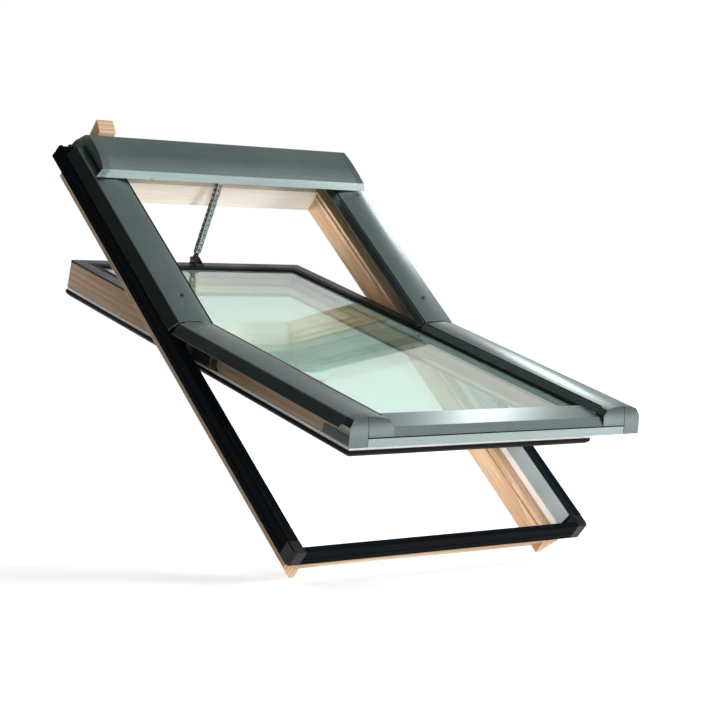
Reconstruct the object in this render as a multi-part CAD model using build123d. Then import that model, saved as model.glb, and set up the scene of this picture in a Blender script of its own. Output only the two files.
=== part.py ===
from build123d import *
import math
import os

# Centre-pivot roof window, shown open at the limit of its push chain.
# Worked out flat and closed: X across, Y up the roof slope, Z outwards from the roof plane (millimetres).
# The sash is then swung open about its pivot, and the whole window is tilted to the roof pitch.

# Whole window
frame_width = 780
frame_length = 1180
roof_pitch = 44
open_angle = 26.8
overrun = 5
rest_gap = 0.3

# Timber frame
timber_depth = 70
timber_inset = 24
timber_bevel = 34
bevel_share = 0.75
jamb_width = 66
sill_width = 50
head_width = 62
ledge_drop = 14
side_wall = 35
sill_wall = 36
seal_groove = 6
seal_groove_depth = 5
seal_groove_drop = 20

# Dark outer profiles, aluminium liners and white strips
profile_height = 38
profile_width = 28
bottom_profile_width = 14
profile_wall = 3
profile_bead = 9
profile_shoulder = 32
profile_rib = 3
profile_rib_level = 14
profile_end_rake = 9
crest_share = 0.9
corner_length = 30
corner_round = 9
corner_chamfer = 2.5
liner_sheet = 1.6
liner_drop = 2
strip_sheet = 3

# Sash timber and glazing
sash_gap = 6
sash_foot_gap = 10
stile_width = 54
sash_height = 42
sash_foot = 16
rebate_width = 28
sill_rebate = 5
rebate_ease = 0.5
pane_sheet = 4
spacer_height = 16
spacer_width = 12
spacer_inset = 6
strip_height = 5
strip_groove = 1.2
groove_shares = (0.3, 0.7)
gasket_width = 20
gasket_height = 4.7
gasket_slope = 3
carrier_height = 5.5
seal_height = 13
seal_width = 22
seal_reach = 1.5
seal_lip = 6

# Side covers
cover_sheet = 2
cover_foot_inset = 3
foot_share = 0.2
shoulder_inset = 19
shoulder_drop = 4.5
shoulder_round = 7
crown_rise = 18
crease_drop = 6
crease_run = 11
toe_gap = 1
cover_overlap = 42
cover_lift = 1.5
upper_cover_start = 6
lower_cover_end = 1
bead_width = 3.2
bead_height = 1
bead_seat = 0.8
bead_tail = 4

# Hood
hood_sheet = 2
lip_line = 148
lip_gap = 2
lip_rake = 5
lip_depth = 19
hood_rise = 10
hood_back_line = 36
hood_back_drop = 2
hood_foot_line = 14
hood_foot_overrun = 12
hood_back_round = 10
hood_end_inset = 38
cap_width = 20
cap_lean = 16
cap_wall = 3
clip_inset = 204
clip_width = 40
clip_depth = 15
clip_sheet = 1.6
cover_under_hood = 40

# Bottom cover and corners
front_overhang = 10
front_strip_fall = 17.4
front_facet_fall = 16.6
front_rake = 2.5
front_groove = 1.2
bevel_line = 3
bevel_fall = 5
sill_cover_line = 62
sill_seat = 11
sill_cover_rise = 3.3
shell_inset = 54
shell_gap = 1.6
shell_outer_inset = 10
cap_line = 22
shell_round = 14
cap_crown_drop = 3
cap_bow = 2

# Pivots
pivot_drop = 10
pin_radius = 4
pin_head = 2
pin_clearance = 0.05
bracket_sheet = 3
bracket_inset = 45
bracket_half_length = 30
bracket_round = 5
bracket_foot_width = 6.5
plate_reach_up = 14
plate_reach_down = 86
plate_foot = 14
case_length = 70
case_offset = 11
case_foot = 10
case_top = 22
case_depth = 17
case_round = 4

# Chain drive
chain_side = 12
chain_pin_drop = 2
outlet_line = 64
outlet_drop = 9
link_pitch = 12.5
link_depth = 9.5
link_chamfer = 3
link_sheet = 1.5
chain_width = 15
block_thick = 8
rivet_radius = 2
rivet_sides = 8
rivet_depth = 1.2
neck_radius = 3
slot_gap = 0.7
slot_share = 0.6
chain_end_length = 20
chain_end_radius = 6
chain_pin_radius = 2.5
ear_sheet = 2
bracket_base = 26
bracket_base_height = 2.5
drive_length = 360
drive_front_gap = 2
drive_height = 68
nose_drop = 12
nose_reach = 12
nose_length = 34
nose_cheek = 5
drive_round = 6

# Small pieces
screw_offset = 81
screw_radius = 4
screw_height = 1.6
screw_socket = 1.5
block_width = 42
block_depth = 28
block_inset = 101
block_back = 12
block_height = 90
block_rake = 12
plate_length = 80
plate_start = 4
plate_low = 13
plate_top = 4
plate_sheet = 2

# Lines that the pieces share
half_width = frame_width / 2
jamb_face = half_width - jamb_width
sash_half = jamb_face - sash_gap
sash_bottom = sill_width + sash_foot_gap
sash_top = frame_length - head_width - sash_gap
pivot_line = (sash_bottom + sash_top) / 2
strip_level = sash_height + strip_height
toe_height = strip_level + toe_gap
crown_height = toe_height + crown_rise
shoulder_height = crown_height - shoulder_drop
crease_height = crown_height - crease_drop
pivot_height = crown_height - pivot_drop
glass_half = sash_half - rebate_width
glass_bottom = sash_bottom + sill_rebate
glass_top = sash_top - rebate_width
unit_height = 2 * pane_sheet + spacer_height
rebate_floor = sash_height - unit_height
cover_inner = sash_half - cover_overlap
crease_line = cover_inner + crease_run
carrier_foot = sash_foot + carrier_height
seal_foot = carrier_foot + seal_height
lip_height = crown_height + lip_gap
hood_crease_height = lip_height + lip_depth
hood_crown_height = hood_crease_height + hood_rise
hood_back_height = hood_crown_height - hood_back_drop
hood_half = half_width - hood_end_inset
sill_cover_height = sash_height + gasket_height + sill_cover_rise
sill_seat_line = glass_bottom + sill_seat
bevel_height = sill_cover_height - bevel_fall
front_split = bevel_height - front_facet_fall
front_foot = front_split - front_strip_fall
shell_line = half_width - shell_inset
shell_outer = half_width - shell_outer_inset
chain_pin_line = sash_top - chain_pin_drop
chain_pin_height = strip_level + bracket_base_height + chain_end_radius + slot_gap
chain_outlet = frame_length - outlet_line
nose_top = hood_crease_height
outlet_height = nose_top - outlet_drop
nose_low = outlet_height - nose_drop
slot_half = chain_width / 2 + slot_gap

side_plane = Plane(origin=(0, 0, 0), x_dir=(1, 0, 0), z_dir=(0, -1, 0))
cross_plane = Plane(origin=(0, 0, 0), x_dir=(0, 1, 0), z_dir=(1, 0, 0))
roof = Rot(roof_pitch, 0, 0) * Pos(0, -timber_inset, timber_depth / 2)
swing = Pos(0, pivot_line, pivot_height) * Rot(-open_angle, 0, 0) * Pos(0, -pivot_line, -pivot_height)


def block(x_low, x_high, y_low, y_high, z_low, z_high):
    solid = Box(x_high - x_low, y_high - y_low, z_high - z_low, align=(Align.MIN, Align.MIN, Align.MIN))
    return Pos(x_low, y_low, z_low) * solid


def up_slope(section, start, end):
    # A section drawn across and outwards, run up the slope.
    return Pos(0, start, 0) * extrude(side_plane * section, amount=end - start, dir=(0, 1, 0))


def across(section, start, end):
    # A section drawn up the slope and outwards, run across.
    return Pos(start, 0, 0) * extrude(cross_plane * section, amount=end - start, dir=(1, 0, 0))


def outline(*points):
    return make_face(Polyline(*points, close=True))


def mirrored(solid):
    return mirror(solid, about=Plane.YZ)


def both_sides(solid):
    return Compound(children=[solid, mirrored(solid)])


def ring(half, bottom, top, width, low, high):
    outer = block(-half, half, bottom, top, low, high)
    inner_half = half - width
    hollow = block(-inner_half, inner_half, bottom + width, top - width, low - overrun, high + overrun)
    return outer - hollow


# Timber frame

def jamb():
    outer = half_width - timber_inset
    wall = half_width - side_wall
    bevel = bevel_share * (jamb_face - outer)
    section = outline(
        (outer, timber_bevel - timber_depth), (outer + bevel, -timber_depth), (jamb_face, -timber_depth),
        (jamb_face, -ledge_drop), (wall, -ledge_drop), (wall, 0), (outer, 0))
    groove_top = -seal_groove_drop
    groove = outline(
        (jamb_face - overrun, groove_top - seal_groove),
        (jamb_face + seal_groove_depth, groove_top - seal_groove),
        (jamb_face + seal_groove_depth, groove_top), (jamb_face - overrun, groove_top))
    return up_slope(section - groove, timber_inset, frame_length - timber_inset)


def cross_member(face, wall, back):
    # Sill or head between the jambs, with its outer rib lying on their ledges.
    bevel = bevel_share * (face - back)
    body = outline((back, timber_bevel - timber_depth), (back + bevel, -timber_depth), (face, -timber_depth),
                   (face, -ledge_drop), (back, -ledge_drop))
    rib = outline((back, -ledge_drop), (wall, -ledge_drop), (wall, 0), (back, 0))
    rib_half = half_width - side_wall
    return across(body, -jamb_face, jamb_face) + across(rib, -rib_half, rib_half)


# Dark outer profiles

def profile_outline(width):
    rib_top = profile_rib_level + profile_rib
    crest = FilletPolyline(
        (0, profile_shoulder), (0, profile_height), (profile_bead, profile_height),
        (profile_bead, profile_height - profile_rib), radius=profile_rib * crest_share)
    outer = Polyline(
        (0, profile_shoulder), (0, rib_top), (profile_rib / 2, profile_rib_level + profile_rib / 2),
        (0, profile_rib_level), (0, 0), (width, 0), (width, profile_height - profile_rib),
        (profile_bead, profile_height - profile_rib))
    hollow = outline(
        (profile_wall, profile_wall), (width - profile_wall, profile_wall),
        (width - profile_wall, profile_height - profile_rib - profile_wall),
        (profile_wall, profile_height - profile_rib - profile_wall))
    return make_face(crest + outer) - hollow


def side_profile():
    section = mirror(profile_outline(profile_width), about=Plane.YZ)
    bar = up_slope(Pos(half_width, 0) * section, corner_length, frame_length)
    rake = outline(
        (frame_length, 0), (frame_length + overrun, 0), (frame_length + overrun, profile_height + overrun),
        (frame_length - profile_end_rake, profile_height + overrun))
    return bar - across(rake, half_width - profile_width - overrun, half_width + overrun)


def bottom_profile():
    # Narrower than the others, with a flange that lies on the sill.
    flange = outline((0, 0), (profile_width, 0), (profile_width, profile_wall), (0, profile_wall))
    section = profile_outline(bottom_profile_width) + flange
    return across(section, corner_length - half_width, half_width - corner_length)


def top_profile():
    section = Pos(frame_length, 0) * mirror(profile_outline(profile_width), about=Plane.YZ)
    reach = half_width - profile_width
    bar = across(section, -reach, reach)
    back = block(-half_width, half_width, frame_length - profile_bead, frame_length + overrun,
                 profile_height - profile_rib, profile_height + overrun)
    return bar - back


def profile_corner():
    # Moulded corner that joins the side profile to the bottom one.
    solid = block(half_width - corner_length, half_width, 0, corner_length, 0, profile_height)
    pocket = block(half_width - corner_length - overrun, half_width - profile_width,
                   bottom_profile_width, corner_length + overrun, -overrun, profile_height + overrun)
    solid = solid - pocket
    outer_edge = solid.edges().filter_by(Axis.Z).sort_by_distance(Vector(half_width, 0, profile_height / 2))[0]
    solid = fillet(outer_edge, radius=corner_round)
    return chamfer(solid.faces().sort_by(Axis.Z)[-1].outer_wire().edges(), length=corner_chamfer)


def side_liner():
    foot = half_width - side_wall
    head = half_width - profile_width
    top = profile_height - profile_rib - liner_drop
    section = outline((foot + liner_sheet, 0), (foot, 0), (head - liner_sheet, top), (head, top))
    return up_slope(section, sill_wall, frame_length - side_wall)


def white_strip():
    wall = half_width - side_wall
    face = wall - strip_sheet
    section = outline((wall, -ledge_drop), (face, -ledge_drop), (face, 0), (wall, 0))
    return up_slope(section, sill_wall, frame_length - side_wall)


# Side covers

def cover_arch():
    shoulder = (half_width - shoulder_inset, shoulder_height)
    crease = (crease_line, crease_height)
    crown = ((shoulder[0] + crease[0]) / 2, crown_height)
    return ThreePointArc(shoulder, crown, crease)


def arch_level(line):
    # Height of the arched top at a distance from the middle of the window.
    arch = cover_arch()
    centre = arch.arc_center
    return centre.Y + math.sqrt(arch.radius ** 2 - (line - centre.X) ** 2)


def above(level):
    return Pos(0, level) * Rectangle(2 * frame_length, frame_length, align=(Align.CENTER, Align.MIN))


def cover_section(foot_height):
    # Bent sheet: slanting outer wall, rounded shoulder, arched top, and a wall turned down at the glass side.
    shoulder = (half_width - shoulder_inset, shoulder_height)
    fall = shoulder_height - profile_height
    foot = (half_width - cover_foot_inset, profile_height)
    below = (foot[0] + (foot[0] - shoulder[0]) * foot_share, foot[1] - fall * foot_share)
    toe_drop = (crease_height - toe_height) * foot_share
    toe = (cover_inner - crease_run * foot_share, toe_height - toe_drop)
    wall = Polyline((crease_line, crease_height), toe)
    spine = Polyline(below, shoulder) + cover_arch() + wall
    section = make_face(offset(spine, amount=cover_sheet, kind=Kind.INTERSECTION, side=Side.LEFT))
    section = fillet(section.vertices().sort_by_distance(Vector(*shoulder, 0))[0:1], radius=shoulder_round)
    middle = crease_line + bead_width
    seat = Pos(middle, arch_level(middle) - bead_seat) * Rectangle(
        bead_width, bead_height + bead_seat, align=(Align.CENTER, Align.MIN))
    below_toe = outline((0, 0), (sash_half, 0), (sash_half, toe_height), (0, toe_height))
    return (section & above(foot_height)) - below_toe - seat


def cover(start, end, foot_height):
    return up_slope(cover_section(foot_height), start, end)


def cover_bead(start, end):
    middle = crease_line + bead_width
    section = Pos(middle, arch_level(middle) - bead_seat) * Rectangle(
        bead_width, bead_height + bead_seat, align=(Align.CENTER, Align.MIN))
    bar = up_slope(section, start, end)
    return fillet(bar.edges().filter_by(Axis.Y).group_by(Axis.Z)[-1], radius=bead_height / 2)


# Hood over the head

def hood_spine():
    lip = (frame_length - lip_line, lip_height)
    crease = (frame_length - lip_line + lip_rake, hood_crease_height)
    back = (frame_length - hood_back_line, hood_back_height)
    crown = ((crease[0] + back[0]) / 2, hood_crown_height)
    foot = (frame_length - hood_foot_line, profile_height - hood_foot_overrun)
    return Polyline(lip, crease) + ThreePointArc(crease, crown, back) + Polyline(back, foot)


def hood_section():
    section = make_face(offset(hood_spine(), amount=hood_sheet, kind=Kind.INTERSECTION, side=Side.RIGHT))
    back = Vector(frame_length - hood_back_line, hood_back_height, 0)
    section = fillet(section.vertices().sort_by_distance(back)[0:1], radius=hood_back_round)
    return section & above(profile_height - profile_rib)


def hood_reach(edge):
    # All that lies within an end line on each side, which leans in above the lip.
    top = hood_crown_height + overrun
    slip = cap_lean * (top - lip_height) / (hood_crown_height - lip_height)
    section = outline((-edge, 0), (edge, 0), (edge, lip_height), (edge - slip, top), (slip - edge, top),
                      (-edge, lip_height))
    return up_slope(section, 0, frame_length + overrun)


def hood():
    return across(hood_section(), -hood_half, hood_half) & hood_reach(hood_half)


def hood_cap():
    # Moulded end with a rim that follows the hood and an end wall set back in it.
    lip = frame_length - lip_line
    outer = hood_half + cap_width
    rim = across(hood_section(), 0, outer) & (hood_reach(outer) - hood_reach(hood_half))
    back = (frame_length - hood_back_line, hood_back_height)
    crease = (lip + lip_rake, hood_crease_height)
    crown = ((crease[0] + back[0]) / 2, hood_crown_height)
    run = hood_foot_line - hood_back_line
    drop = (hood_back_height - lip_height) / (hood_back_height - profile_height)
    low_back = (back[0] - run * drop, lip_height)
    wall_face = make_face(
        Polyline(low_back, (lip, lip_height), crease) + ThreePointArc(crease, crown, back)
        + Polyline(back, low_back))
    return rim + across(offset(wall_face, amount=-hood_sheet), hood_half, hood_half + cap_wall)


def hood_clips():
    top = lip_height + clip_depth / 2
    front = frame_length - lip_line + hood_sheet + rest_gap
    rake = lip_rake * (top - lip_height) / (hood_crease_height - lip_height)
    solids = []
    for side in (-1, 1):
        middle = side * (half_width - clip_inset)
        low = middle - clip_width / 2
        high = middle + clip_width / 2
        tongue = outline(
            (front, lip_height), (front + clip_depth, lip_height - clip_sheet), (front + clip_depth, lip_height),
            (front + clip_sheet + rake, top), (front + rake, top))
        solids.append(across(tongue, low, high))
    return Compound(children=solids)


# Sash timber

def stile():
    section = outline(
        (sash_half, -sash_foot), (sash_half - stile_width, -sash_foot), (sash_half - stile_width, rebate_floor),
        (glass_half, rebate_floor), (glass_half, sash_height), (sash_half, sash_height))
    return up_slope(section, sash_bottom, sash_top)


def rail(back, inward, rib_width):
    # Rail between the stiles; inward is +1 for the bottom rail and -1 for the top one.
    inner = sash_half - stile_width
    body_low, body_high = sorted((back, back + inward * stile_width))
    body = block(-inner, inner, body_low, body_high, -sash_foot, rebate_floor)
    rib_low, rib_high = sorted((back, back + inward * rib_width))
    rib = block(-glass_half, glass_half, rib_low, rib_high, rebate_floor, sash_height)
    return body + rib


# Glazing

def pane(low):
    reach = glass_half - rebate_ease
    return block(-reach, reach, glass_bottom + rebate_ease, glass_top - rebate_ease, low, low + pane_sheet)


def spacer():
    low = rebate_floor + pane_sheet
    reach = glass_half - spacer_inset
    bottom = glass_bottom + spacer_inset
    return ring(reach, bottom, glass_top - spacer_inset, spacer_width, low, low + spacer_height)


def glazing_gasket():
    low = glass_bottom - gasket_width
    solid = ring(glass_half, low, glass_top, gasket_width, sash_height, sash_height + gasket_height)
    top = solid.faces().sort_by(Axis.Z)[-1]
    solid = chamfer(top.inner_wires()[0].edges(), length=gasket_slope)
    # Open at the foot, where the bottom cover lies on the glass
    foot = sill_seat_line + rest_gap
    over = sash_height + gasket_height + overrun
    return solid - block(-glass_half, glass_half, low - overrun, foot, sash_height - overrun, over)


def strip_section(low, high):
    # Flat aluminium strip with two fine grooves along it.
    section = outline((low, sash_height), (high, sash_height), (high, strip_level),
                      (low, strip_level))
    for share in groove_shares:
        line = low + (high - low) * share
        section = section - Pos(line, strip_level) * Rectangle(strip_groove, strip_groove)
    return section


def side_strip():
    return up_slope(strip_section(glass_half, sash_half), pivot_line, glass_top)


def top_strip():
    return across(strip_section(glass_top, sash_top), -sash_half, sash_half)


# Bottom cover, front strip and corners

def bottom_cover():
    front = -front_overhang
    # Its back edge slopes down to the glass
    spine = Polyline(
        (sill_seat_line, sash_height + cover_sheet + rest_gap), (sill_cover_line, sill_cover_height),
        (bevel_line, bevel_height), (front + front_rake, front_split))
    section = make_face(offset(spine, amount=cover_sheet, kind=Kind.INTERSECTION, side=Side.LEFT))
    reach = cover_inner - rest_gap
    return across(section, -reach, reach)


def front_strip():
    front = -front_overhang
    top = front_split - front_groove
    section = outline((front, front_foot), (front + front_rake, top),
                      (front + front_rake + cover_sheet, top), (front + cover_sheet, front_foot))
    return across(section, -shell_line, shell_line)


def corner_profile(foot, back):
    # Side view of a corner: flat foot, and above it one bowed face up to the arched top.
    front = -front_overhang
    over = crown_height + overrun
    low = (front + front_rake, front_split)
    high = (bevel_line + cap_crown_drop, over)
    bow = ((low[0] + high[0]) / 2 - cap_bow, (low[1] + high[1]) / 2)
    sides = Polyline(high, (back, over), (back, foot), (front, foot), low)
    return make_face(sides + ThreePointArc(low, bow, high))


def corner_arch(foot):
    # Front view of a corner: the side cover's arch and glass-side wall, carried down to the foot.
    shoulder = (half_width - shoulder_inset, shoulder_height)
    sides = Polyline((crease_line, crease_height), (cover_inner, toe_height), (cover_inner, foot),
                     (shell_outer, foot), (shell_outer, shoulder_height - shell_round), shoulder)
    return make_face(sides + cover_arch())


def corner_solid():
    # Thin moulding, open behind and below, cut to sit over the outer profile when the sash is shut.
    low = -front_overhang - overrun
    high = cap_line + overrun
    skin = across(corner_profile(front_foot, cap_line), 0, half_width)
    skin = skin & up_slope(corner_arch(front_foot), low, high)
    open_foot = front_foot - overrun
    inner_profile = offset(corner_profile(open_foot, high), amount=-cover_sheet, kind=Kind.INTERSECTION)
    inner_arch = offset(corner_arch(open_foot), amount=-cover_sheet, kind=Kind.INTERSECTION)
    inside = across(inner_profile, 0, half_width) & up_slope(inner_arch, low, high + overrun)
    below = block(0, half_width, low, high + overrun, 0, profile_height + cover_lift)
    seat = across(inner_profile, 0, half_width) & below
    return skin - inside - seat


def corner_cap():
    keep = block(0, shell_line, -half_width, half_width, front_split, half_width)
    return corner_solid() & keep


def corner_shell():
    keep = block(shell_line + shell_gap, half_width, -half_width, half_width, 0, half_width)
    return corner_solid() & keep


# Seals round the sash

def carrier_ring():
    return ring(sash_half, sash_bottom, sash_top, seal_width, -carrier_foot, -sash_foot)


def sash_seal():
    half = sash_half + seal_reach
    width = seal_width + seal_reach
    solid = ring(half, sash_bottom - seal_reach, sash_top + seal_reach, width, -seal_foot, -carrier_foot)
    foot = solid.faces().sort_by(Axis.Z)[0]
    return chamfer(foot.outer_wire().edges(), length=seal_lip)


# Pivots

def pivot_hull(start, end, foot, radius):
    foot_edge = Polyline((start, foot), (end, foot))
    eye = Pos(pivot_line, pivot_height) * Circle(radius)
    return make_hull(foot_edge.edges() + eye.edges())


def frame_bracket():
    outer = half_width - bracket_inset + bracket_sheet
    section = pivot_hull(pivot_line - bracket_half_length, pivot_line + bracket_half_length,
                         -ledge_drop, bracket_round)
    section = section - Pos(pivot_line, pivot_height) * Circle(pin_radius)
    web = across(section, outer - bracket_sheet, outer)
    foot = block(outer - bracket_sheet, outer - bracket_sheet + bracket_foot_width,
                 pivot_line - bracket_half_length, pivot_line + bracket_half_length,
                 -ledge_drop, -ledge_drop + bracket_sheet)
    return web + foot


def pivot_pin():
    outer = half_width - bracket_inset + bracket_sheet
    inner = sash_half + rest_gap
    shaft = across(Pos(pivot_line, pivot_height) * Circle(pin_radius), inner, outer)
    head = across(Pos(pivot_line, pivot_height) * Circle(bracket_round), outer, outer + pin_head)
    return shaft + head


def pivot_plate():
    section = pivot_hull(pivot_line - plate_reach_down, pivot_line + plate_reach_up, -plate_foot, bracket_round)
    section = section - Pos(pivot_line, pivot_height) * Circle(pin_radius + pin_clearance)
    return across(section, sash_half, sash_half + bracket_sheet)


def hinge_case():
    end = pivot_line - case_offset
    inner = sash_half + bracket_sheet
    solid = block(inner, inner + case_depth, end - case_length, end, -case_foot, case_top)
    solid = fillet(solid.edges().filter_by(Axis.X), radius=case_round)
    rim = solid.faces().sort_by(Axis.X)[-1].outer_wire().edges()
    return chamfer(rim, length=case_round / 2)


def side_plate():
    start = sash_bottom + plate_start
    return block(-sash_half - plate_sheet, -sash_half, start, start + plate_length, -plate_low, plate_top)


# Chain drive

def drive_housing():
    # Long case between the head and the top profile, with a forked nose that the chain comes out of.
    front = frame_length - head_width + drive_front_gap
    solid = block(chain_side - drive_length / 2, chain_side + drive_length / 2, front,
                  frame_length - profile_width, 0, drive_height)
    solid = fillet(solid.edges().filter_by(Axis.X).group_by(Axis.Z)[-1], radius=drive_round)
    nose_half = slot_half + nose_cheek
    nose_front = chain_outlet - nose_reach
    solid = solid + block(chain_side - nose_half, chain_side + nose_half, nose_front, nose_front + nose_length,
                          nose_low, nose_top)
    play = link_depth * slot_share
    slot = block(chain_side - slot_half, chain_side + slot_half, nose_front - overrun, chain_outlet + play,
                 nose_low - overrun, outlet_height + play)
    return solid - slot


def opened(line, height):
    # Where a point of the closed sash lies once the sash is open.
    turn = math.radians(open_angle)
    along = line - pivot_line
    out = height - pivot_height
    return (pivot_line + along * math.cos(turn) + out * math.sin(turn),
            pivot_height + out * math.cos(turn) - along * math.sin(turn))


chain_end_point = opened(chain_pin_line, chain_pin_height)
chain_run = (chain_end_point[0] - chain_outlet, chain_end_point[1] - outlet_height)
chain_length = math.hypot(*chain_run)
chain_angle = math.degrees(math.atan2(chain_run[1], chain_run[0]))
chain_place = Pos(chain_side, chain_outlet, outlet_height) * Rot(chain_angle, 0, 0)
link_pairs = round((chain_length - chain_end_length) / (2 * link_pitch))
link_count = 2 * link_pairs - 1
link_step = (chain_length - chain_end_length) / link_count


def chain_links():
    # Side plates with cut corners; the pairs lie inside and outside by turns, inside at both ends.
    plate = Rectangle(link_step + link_depth, link_depth)
    plate = chamfer(plate.vertices(), length=link_chamfer)
    solids = []
    for index in range(link_count):
        outer = chain_width / 2 - ((index + 1) % 2) * link_sheet
        section = Pos(index * link_step + link_step / 2, 0) * plate
        for low in (outer - link_sheet, -outer):
            solids.append(chain_place * across(section, low, low + link_sheet))
    return Compound(children=solids)


def chain_blocks():
    # Metal blocks between the side plates, each with a rivet seat in its front, below a roller at the outlet.
    reach = chain_width / 2 - 2 * link_sheet
    solids = [chain_place * across(Circle(neck_radius), -reach, reach)]
    for index in range(1, link_count):
        middle = index * link_step + link_step / 2
        section = Pos(middle, 0) * Rectangle(link_step - 2 * rest_gap, block_thick)
        rivet = extrude(RegularPolygon(rivet_radius, rivet_sides), amount=rivet_depth)
        seat = Pos(0, middle, -block_thick / 2) * rivet
        solids.append(chain_place * (across(section, -reach, reach) - seat))
    return Compound(children=solids)


def chain_end():
    # Rounded eye at the foot of the chain, round the bracket's pin with play.
    reach = chain_width / 2 - 2 * link_sheet
    neck = chain_end_length - neck_radius - rest_gap
    section = make_hull((Pos(chain_length, 0) * Circle(chain_end_radius)).edges()
                        + (Pos(chain_length - neck + neck_radius, 0) * Circle(neck_radius)).edges())
    section = section - Pos(chain_length, 0) * Circle(chain_pin_radius + rest_gap)
    return chain_place * across(section, -reach, reach)


def chain_bracket():
    low = strip_level
    start = sash_top - bracket_base
    half = slot_half + ear_sheet + ear_sheet
    base = block(chain_side - half, chain_side + half, start, sash_top, low, low + bracket_base_height)
    base_edge = Polyline((start, low + bracket_base_height), (sash_top, low + bracket_base_height))
    eye = Pos(chain_pin_line, chain_pin_height) * Circle(chain_end_radius)
    ear = make_hull(base_edge.edges() + eye.edges())
    for near in (chain_side + slot_half, chain_side - slot_half - ear_sheet):
        base = base + across(ear, near, near + ear_sheet)
    pin = Pos(chain_pin_line, chain_pin_height) * Circle(chain_pin_radius)
    return base + across(pin, chain_side - slot_half, chain_side + slot_half)


# Small pieces

def cover_screws():
    line = (half_width - shoulder_inset + crease_line) / 2
    solids = []
    for side in (-1, 1):
        place = Pos(side * line, pivot_line + screw_offset, crown_height)
        head = Cylinder(screw_radius, screw_height, align=(Align.CENTER, Align.CENTER, Align.MIN))
        socket = Pos(0, 0, screw_height) * Cylinder(screw_socket, screw_height)
        solids.append(place * (head - socket))
    return Compound(children=solids)


def timber_block():
    back = frame_length - block_back
    foot = profile_height - profile_rib
    rear = back + block_depth
    lean = block_rake / 2
    section = outline((back, foot), (rear, foot), (rear, block_height + lean), (back, block_height - lean))
    middle = block_inset - half_width
    return across(section, middle - block_width / 2, middle + block_width / 2)


upper_cover_low = pivot_line + upper_cover_start
upper_cover_high = frame_length - cover_under_hood
lower_cover_high = pivot_line - lower_cover_end
upper_cover = cover(upper_cover_low, upper_cover_high, profile_height)
lower_cover = cover(cap_line, lower_cover_high, profile_height + cover_lift)
upper_bead = cover_bead(upper_cover_low - bead_tail, upper_cover_high)
lower_bead = cover_bead(cap_line, lower_cover_high - bead_tail)

frame_nodes = {
    "jamb_right": jamb(),
    "jamb_left": mirrored(jamb()),
    "sill": cross_member(sill_width, sill_wall, timber_inset),
    "head": cross_member(frame_length - head_width, frame_length - side_wall, frame_length - timber_inset),
    "profile_right": side_profile(),
    "profile_left": mirrored(side_profile()),
    "profile_bottom": bottom_profile(),
    "profile_top": top_profile(),
    "profile_corner_right": profile_corner(),
    "profile_corner_left": mirrored(profile_corner()),
    "liner_right": side_liner(),
    "liner_left": mirrored(side_liner()),
    "white_strip_right": white_strip(),
    "white_strip_left": mirrored(white_strip()),
    "upper_cover_right": upper_cover,
    "upper_cover_left": mirrored(upper_cover),
    "upper_beads": both_sides(upper_bead),
    "cover_screws": cover_screws(),
    "hood": hood(),
    "hood_cap_right": hood_cap(),
    "hood_cap_left": mirrored(hood_cap()),
    "hood_clips": hood_clips(),
    "drive_housing": drive_housing(),
    "frame_bracket_right": frame_bracket(),
    "frame_bracket_left": mirrored(frame_bracket()),
    "pivot_pins": both_sides(pivot_pin()),
    "timber_block": timber_block(),
    "chain_links": chain_links(),
    "chain_blocks": chain_blocks(),
    "chain_end": chain_end(),
}

sash_nodes = {
    "stile_right": stile(),
    "stile_left": mirrored(stile()),
    "bottom_rail": rail(sash_bottom, 1, sill_rebate),
    "top_rail": rail(sash_top, -1, rebate_width),
    "inner_pane": pane(rebate_floor),
    "spacer": spacer(),
    "outer_pane": pane(sash_height - pane_sheet),
    "glazing_gasket": glazing_gasket(),
    "glazing_strip_right": side_strip(),
    "glazing_strip_left": mirrored(side_strip()),
    "glazing_strip_top": top_strip(),
    "lower_cover_right": lower_cover,
    "lower_cover_left": mirrored(lower_cover),
    "lower_beads": both_sides(lower_bead),
    "bottom_cover": bottom_cover(),
    "front_strip": front_strip(),
    "corner_cap_right": corner_cap(),
    "corner_cap_left": mirrored(corner_cap()),
    "corner_shell_right": corner_shell(),
    "corner_shell_left": mirrored(corner_shell()),
    "carrier_ring": carrier_ring(),
    "sash_seal": sash_seal(),
    "pivot_plate_right": pivot_plate(),
    "pivot_plate_left": mirrored(pivot_plate()),
    "hinge_case_right": hinge_case(),
    "hinge_case_left": mirrored(hinge_case()),
    "side_plate": side_plate(),
    "chain_bracket": chain_bracket(),
}

os.makedirs("parts", exist_ok=True)
for name, solid in frame_nodes.items():
    export_step(roof * solid, f"parts/{name}.step")
for name, solid in sash_nodes.items():
    export_step(roof * swing * solid, f"parts/{name}.step")
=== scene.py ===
import math
import bmesh
import bpy
from mathutils import Matrix, Vector


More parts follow.
